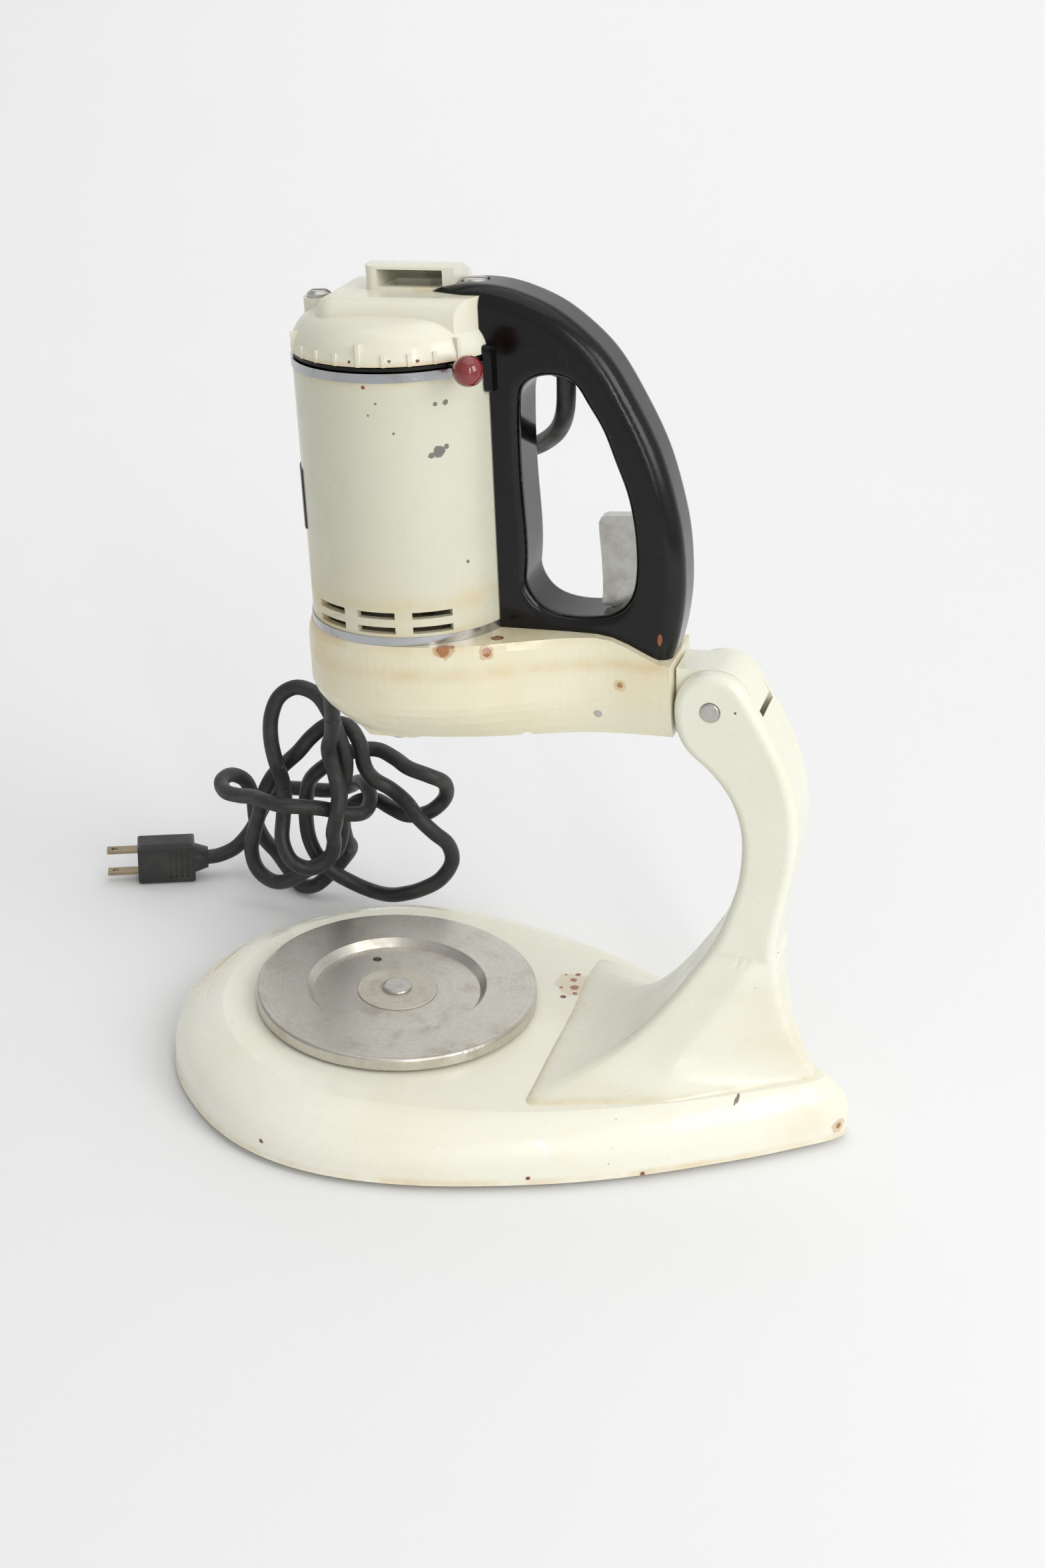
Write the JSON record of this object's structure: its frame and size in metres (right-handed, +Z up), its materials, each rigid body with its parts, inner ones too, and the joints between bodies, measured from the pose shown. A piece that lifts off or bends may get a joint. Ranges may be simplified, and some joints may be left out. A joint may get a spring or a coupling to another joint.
{
  "type": "stand food mixer",
  "caption": "Vintage countertop stand mixer: tilting motor head on a column, loop handle, speed lever on the top cap, round turntable on a rectangular base, coiled power cord.",
  "frame": {"origin": "on the table under the centre of the turntable", "axes": "+Z up, +X from the turntable towards the column and handle side, +Y to the side the coiled cord lies on"},
  "size_m": [0.4142, 0.2603, 0.3715],
  "materials": {
    "ivory_enamel": "gloss enamel, worn",
    "dull_steel": "turned, dull and stained",
    "worn_plate": "pale worn plating",
    "base_plate": "semi-matt black paint",
    "rubber": "matt",
    "bolt_steel": "zinc plated, dull",
    "chrome_trim": "polished, slightly pitted",
    "bright_steel": "turned",
    "handle_black": "moulded phenolic, gloss with light wear",
    "red_knob": "gloss",
    "brass": "dull",
    "field_iron": "varnished laminations",
    "copper_coil": "varnished wire",
    "fibre": "pressed fibre board",
    "carbon": "matt",
    "cast_alloy": "as cast",
    "cord_rubber": "matt, dusty",
    "plug_black": "moulded"
  },
  "bodies": {
    "stand": {"base_shell": "ivory_enamel", "base_plate": "base_plate", "rubber_feet": "rubber", "column_bolts": "bolt_steel", "column": "ivory_enamel", "hinge_pin": "bright_steel", "thrust_washer": "fibre", "power_cord": "cord_rubber", "plug_body": "plug_black", "plug_blades": "brass"},
    "turntable": {"turntable": "dull_steel", "turntable_disc": "worn_plate", "turntable_spindle": "bright_steel", "spindle_clip": "bolt_steel"},
    "bracket": {"tilt_bracket": "ivory_enamel"},
    "head": {"gearcase_lower": "ivory_enamel", "gearcase_upper": "ivory_enamel", "case_screws": "bolt_steel", "case_cross_pin": "bright_steel", "lower_trim_band": "chrome_trim", "upper_trim_band": "chrome_trim", "motor_housing": "ivory_enamel", "badge_plate": "chrome_trim", "end_cap": "ivory_enamel", "cap_screw": "bright_steel", "handle": "handle_black", "handle_screw": "bright_steel", "trigger_pin": "bright_steel", "cord_grommet": "rubber", "governor_plate": "fibre", "governor_contacts": "brass", "bearing_bridge": "cast_alloy", "field_core": "field_iron", "field_coils": "copper_coil", "tie_studs": "bolt_steel", "lower_bearing": "brass", "upper_bearing": "brass", "carbon_brushes": "carbon", "brush_holders": "brass", "idler_axle": "bright_steel", "spindle_bushings": "brass", "cord_lead": "cord_rubber"},
    "trigger": {"release_trigger": "bright_steel"},
    "latch": {"latch_bolt": "bright_steel"},
    "lever": {"speed_lever": "bright_steel", "lever_knob": "red_knob"},
    "armature": {"armature_shaft": "bright_steel", "armature_core": "field_iron", "armature_windings": "copper_coil", "commutator": "copper_coil", "cooling_fan": "cast_alloy"},
    "idler": {"idler_gear": "fibre"},
    "spindle_near": {"beater_spindle_near": "bright_steel"},
    "spindle_far": {"beater_spindle_far": "bright_steel"}
  },
  "joints": [
    {"name": "head_tilt", "type": "hinge", "parent": "stand", "child": "bracket", "pos_m": [0.1395, 0, 0.2035], "axis": [0, 1, 0], "range_deg": [0, 62]},
    {"name": "head_release", "type": "slide", "parent": "bracket", "child": "head", "axis": [-0.9971, 0, -0.0762], "range_m": [0, 0.06]},
    {"name": "trigger_pull", "type": "hinge", "parent": "head", "child": "trigger", "pos_m": [0.11022, 0, 0.23235], "axis": [0, 1, 0], "range_deg": [0, 10]},
    {"name": "latch_lift", "type": "slide", "parent": "head", "child": "latch", "axis": [-0.0762, 0, 0.9971], "range_m": [0, 0.0016]},
    {"name": "speed_lever_turn", "type": "hinge", "parent": "head", "child": "lever", "pos_m": [-0.00124, 0, 0.33657], "axis": [-0.0762, 0, 0.9971], "range_deg": [-102, 4]},
    {"name": "armature_spin", "type": "hinge", "parent": "head", "child": "armature", "pos_m": [-0.00124, 0, 0.33657], "axis": [-0.0762, 0, 0.9971], "continuous": true},
    {"name": "idler_spin", "type": "hinge", "parent": "head", "child": "idler", "pos_m": [0.02408, -0.01484, 0.21123], "axis": [-0.0762, 0, 0.9971], "continuous": true},
    {"name": "spindle_near_spin", "type": "hinge", "parent": "head", "child": "spindle_near", "pos_m": [0.00466, -0.015, 0.18969], "axis": [-0.0762, 0, 0.9971], "continuous": true},
    {"name": "spindle_far_spin", "type": "hinge", "parent": "head", "child": "spindle_far", "pos_m": [0.00466, 0.015, 0.18969], "axis": [-0.0762, 0, 0.9971], "continuous": true},
    {"name": "turntable_spin", "type": "hinge", "parent": "stand", "child": "turntable", "pos_m": [0, 0, 0.0375], "axis": [0, 0, 1], "continuous": true}
  ],
  "couplings": [
    {"joint": "latch_lift", "follows": "trigger_pull", "m_per_rad": 0.0085},
    {"joint": "idler_spin", "follows": "armature_spin", "ratio": -0.22727},
    {"joint": "spindle_near_spin", "follows": "armature_spin", "ratio": 0.090909},
    {"joint": "spindle_far_spin", "follows": "armature_spin", "ratio": -0.090909}
  ]
}
